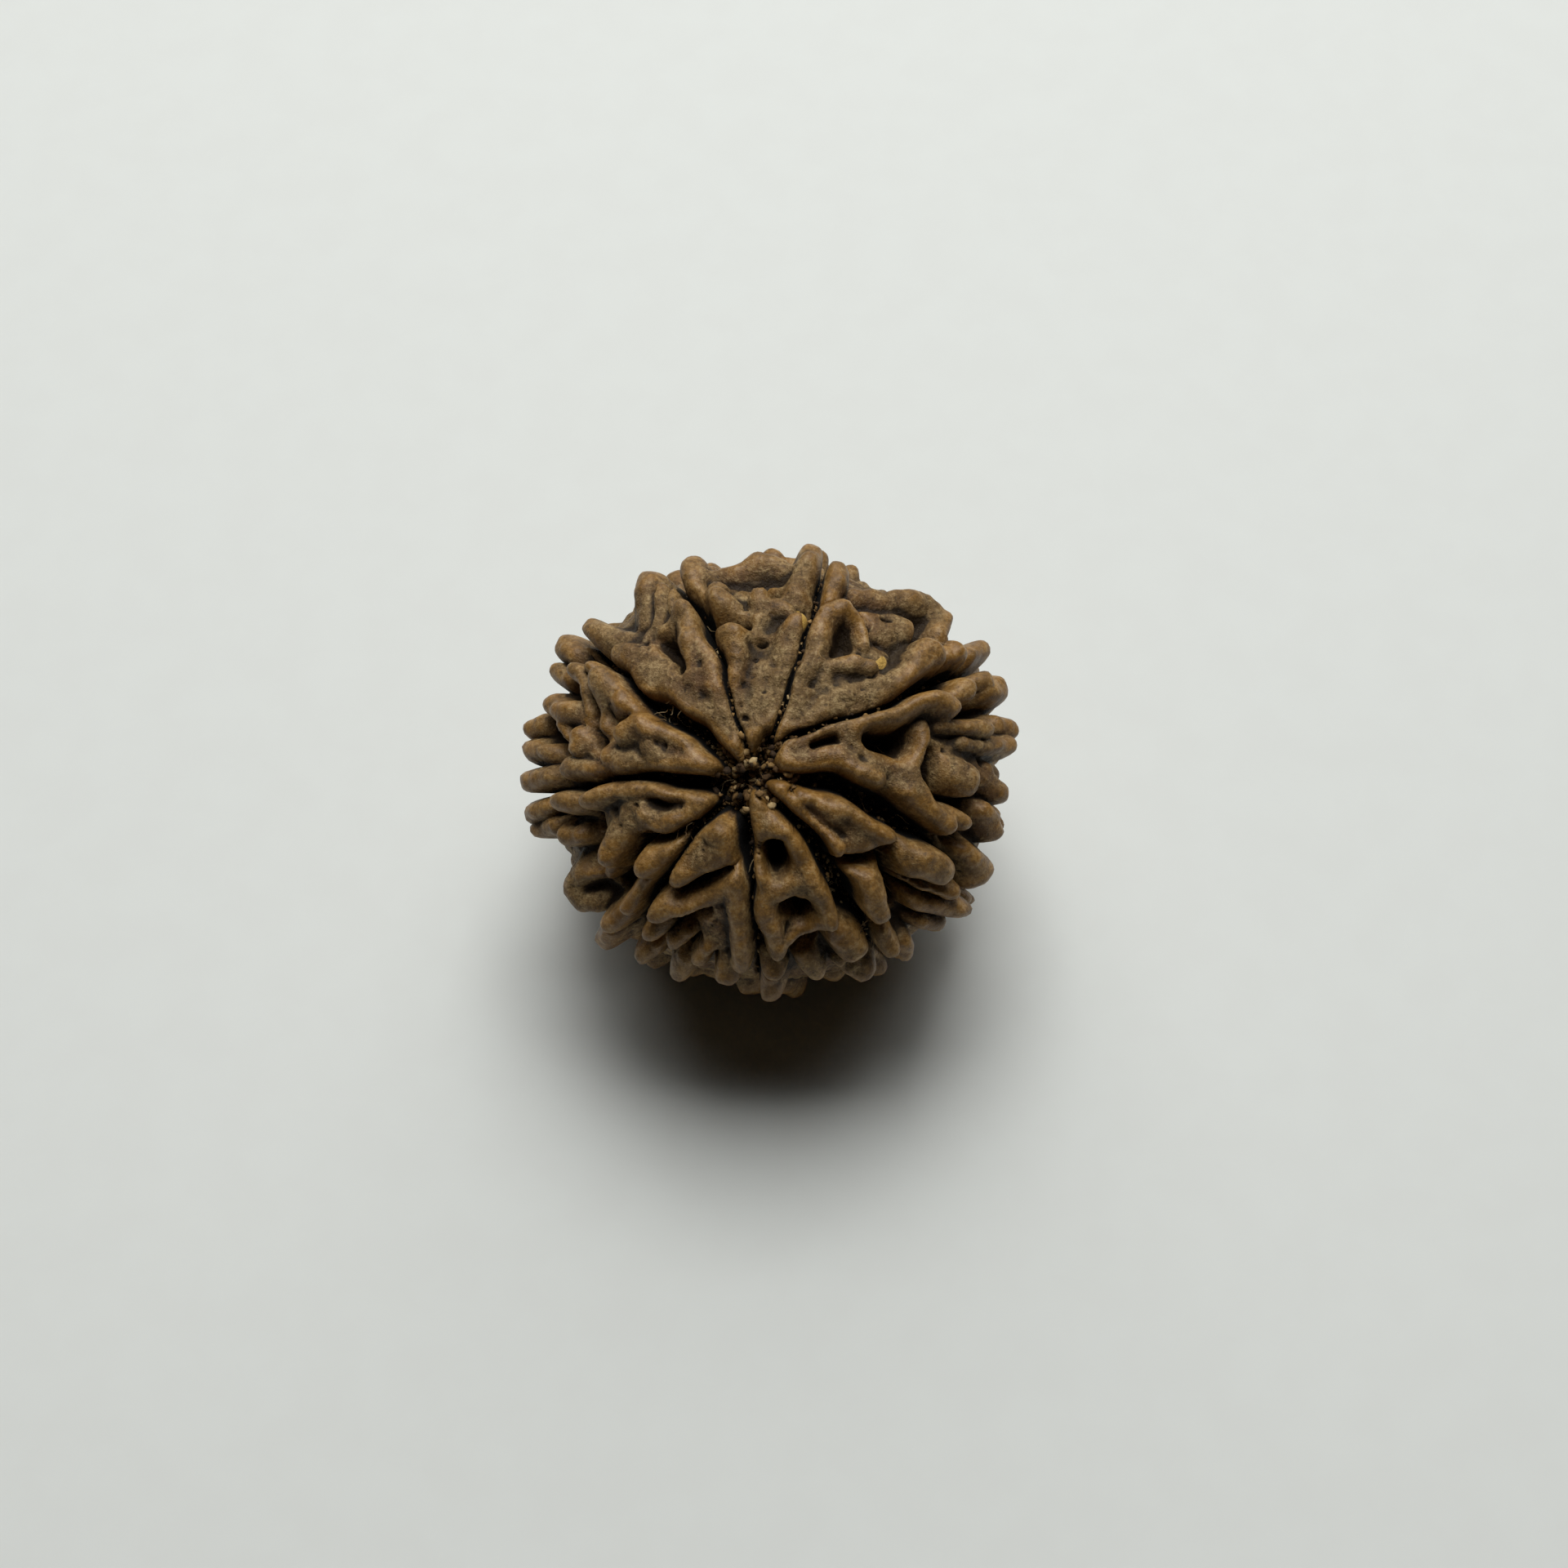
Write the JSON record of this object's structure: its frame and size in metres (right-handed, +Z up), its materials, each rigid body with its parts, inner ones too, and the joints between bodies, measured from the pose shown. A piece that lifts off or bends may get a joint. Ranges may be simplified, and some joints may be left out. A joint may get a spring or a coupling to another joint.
{
  "type": "rudraksha bead",
  "caption": "Stony ribbed seed bead with a round knobby wall, furrowed from pole to pole, that rests tilted on its worn lower knobs.",
  "frame": {"origin": "middle of the box at the surface that the bead rests on", "axes": "+Z up from the worn knobs that it rests on; the upper pole leans from +Z towards -Y by about 28 degrees and a little towards -X"},
  "size_m": [0.0244, 0.0232, 0.0217],
  "materials": {
    "seed_shell": "matt grey-brown stony seed wall, waxed by handling on its knobs"
  },
  "bodies": {
    "root": {"bead": "seed_shell"}
  },
  "joints": []
}
